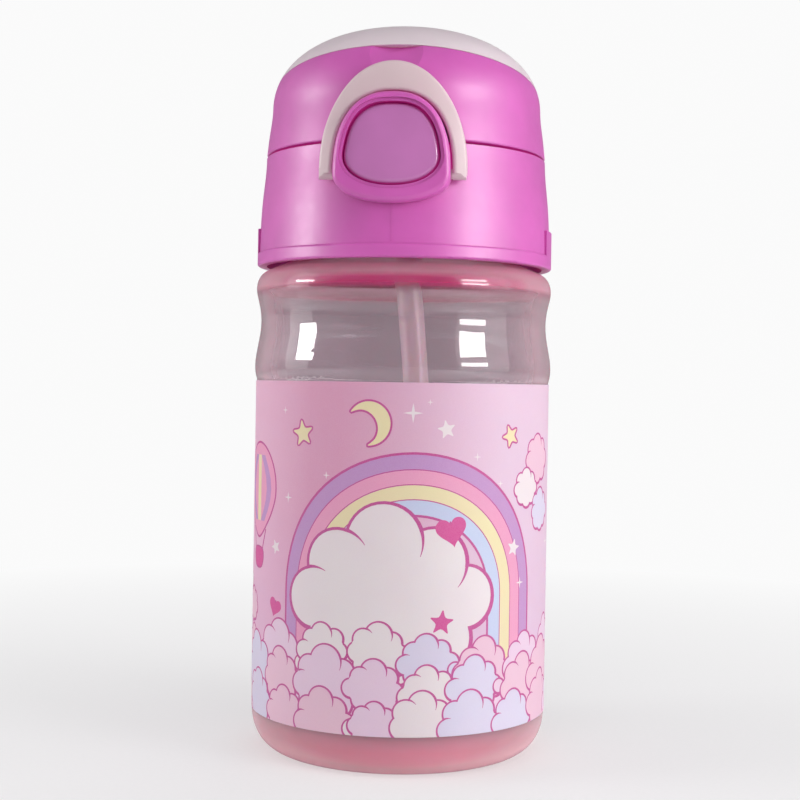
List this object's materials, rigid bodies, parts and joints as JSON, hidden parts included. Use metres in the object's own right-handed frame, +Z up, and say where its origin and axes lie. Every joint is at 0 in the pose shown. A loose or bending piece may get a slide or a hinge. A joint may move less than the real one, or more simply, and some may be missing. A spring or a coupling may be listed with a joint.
{
  "type": "flip-top straw water bottle",
  "caption": "Child's clear drinking bottle with a printed wrap, screw-on lid, push-button flip cap, swinging lock loop, silicone spout and straw.",
  "frame": {"origin": "centre of the bottle's underside, on its axis, in the plane of the foot ring", "axes": "+Z up along the bottle's axis, -Y towards the push button, +X to the right of someone facing the button"},
  "size_m": [0.0706, 0.0748, 0.1703],
  "materials": {
    "clear_body": "clear tinted copolyester, polished",
    "printed_film": "printed plastic film, glossy",
    "magenta_plastic": "satin moulded polypropylene, magenta",
    "lilac_plastic": "glossy moulded plastic, lilac",
    "pale_pink_plastic": "satin moulded plastic, pale pink",
    "white_plastic": "natural white polypropylene",
    "clear_silicone": "translucent silicone rubber",
    "straw_plastic": "translucent polyethylene",
    "spring_steel": "drawn stainless wire"
  },
  "bodies": {
    "bottle": {"bottle_body": "clear_body", "label_film": "printed_film"},
    "gasket": {"neck_gasket": "clear_silicone"},
    "lid": {"lid_collar": "magenta_plastic", "threaded_base": "magenta_plastic", "drinking_spout": "clear_silicone", "vent_valve": "clear_silicone", "straw": "straw_plastic", "hinge_pin": "spring_steel", "hinge_spring": "spring_steel", "button_spring": "spring_steel"},
    "cap": {"flip_cap": "magenta_plastic", "cap_top_cover": "pale_pink_plastic", "cap_liner": "white_plastic", "spout_seal_pad": "clear_silicone"},
    "lock": {"lock_bail": "pale_pink_plastic"},
    "button": {"release_button": "lilac_plastic"}
  },
  "joints": [
    {"name": "lid_twist", "type": "hinge", "parent": "gasket", "child": "lid", "pos_m": [0, 0, 0.131], "axis": [0, 0, 1], "range_deg": [0, 720]},
    {"name": "lid_lift", "type": "slide", "parent": "bottle", "child": "gasket", "axis": [0, 0, 1], "range_m": [0, 0.00901]},
    {"name": "flip_open", "type": "hinge", "parent": "lid", "child": "cap", "pos_m": [0, 0.0341, 0.1394], "axis": [-1, 0, 0], "range_deg": [0, 120]},
    {"name": "bail_swing", "type": "hinge", "parent": "lid", "child": "lock", "pos_m": [0, -0.0329, 0.132], "axis": [1, 0, 0], "range_deg": [0, 130]},
    {"name": "button_press", "type": "slide", "parent": "lid", "child": "button", "axis": [0, 1, 0], "range_m": [0, 0.0016], "stiffness_N_per_m": 200, "springref_m": -0.002}
  ],
  "couplings": [
    {"joint": "lid_lift", "follows": "lid_twist", "m_per_rad": 0.0007162}
  ]
}
